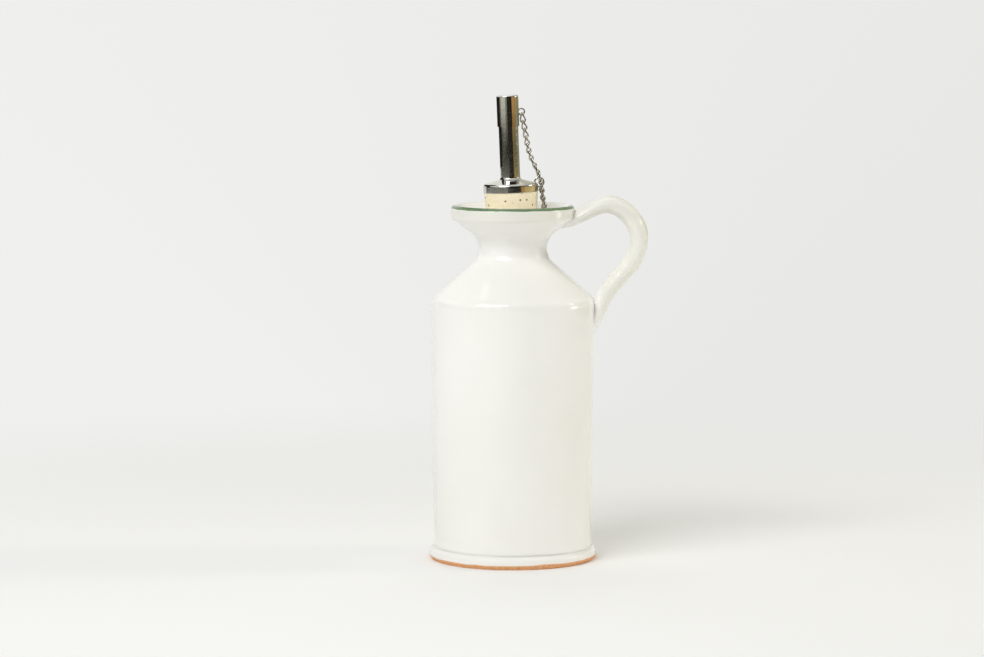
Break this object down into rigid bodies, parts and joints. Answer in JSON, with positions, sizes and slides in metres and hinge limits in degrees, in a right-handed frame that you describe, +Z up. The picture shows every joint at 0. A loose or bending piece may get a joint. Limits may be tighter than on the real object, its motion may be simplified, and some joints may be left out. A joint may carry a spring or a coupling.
{
  "type": "oil cruet",
  "caption": "Glazed earthenware oil cruet with a flared mouth, pulled handle, cork pourer spout and a push-on cap on a fine chain.",
  "frame": {"origin": "middle of the bottle's base, on the surface that it stands on", "axes": "+Z up along the bottle's axis, +X towards the handle"},
  "size_m": [0.1018, 0.0778, 0.216],
  "materials": {
    "glaze": "glossy off-white tin glaze",
    "cork": "matt pale cork",
    "chrome": "polished, finely scratched",
    "chain": "bright drawn wire"
  },
  "bodies": {
    "bottle": {"bottle": "glaze"},
    "stopper": {"stopper_cork": "cork", "spout": "chrome", "vent_tube": "chrome"},
    "cap": {"cap": "chrome", "cap_eyelet": "chain"},
    "chain_run": {"chain_link_01": "chain", "chain_link_02": "chain", "chain_link_03": "chain", "chain_link_04": "chain", "chain_link_05": "chain", "chain_link_06": "chain", "chain_link_07": "chain", "chain_link_08": "chain", "chain_link_09": "chain", "chain_link_10": "chain", "chain_link_11": "chain", "chain_link_12": "chain", "chain_link_13": "chain"},
    "chain_tail": {"jump_ring": "chain", "chain_link_14": "chain", "chain_link_15": "chain", "chain_link_16": "chain", "chain_link_17": "chain"}
  },
  "joints": [
    {"name": "stopper_pull", "type": "slide", "parent": "bottle", "child": "stopper", "axis": [-0.0384, 0, 0.9993], "range_m": [0, 0.055]},
    {"name": "cap_lift", "type": "slide", "parent": "stopper", "child": "cap", "axis": [-0.0384, 0, 0.9993], "range_m": [0, 0.016]},
    {"name": "run_swing", "type": "hinge", "parent": "cap", "child": "chain_run", "pos_m": [0.00394, 0, 0.2082], "axis": [0, -1, 0], "range_deg": [0, 60]},
    {"name": "tail_swing", "type": "hinge", "parent": "stopper", "child": "chain_tail", "pos_m": [0.01226, 0.0019, 0.17547], "axis": [0, -1, 0], "range_deg": [0, 50]}
  ]
}
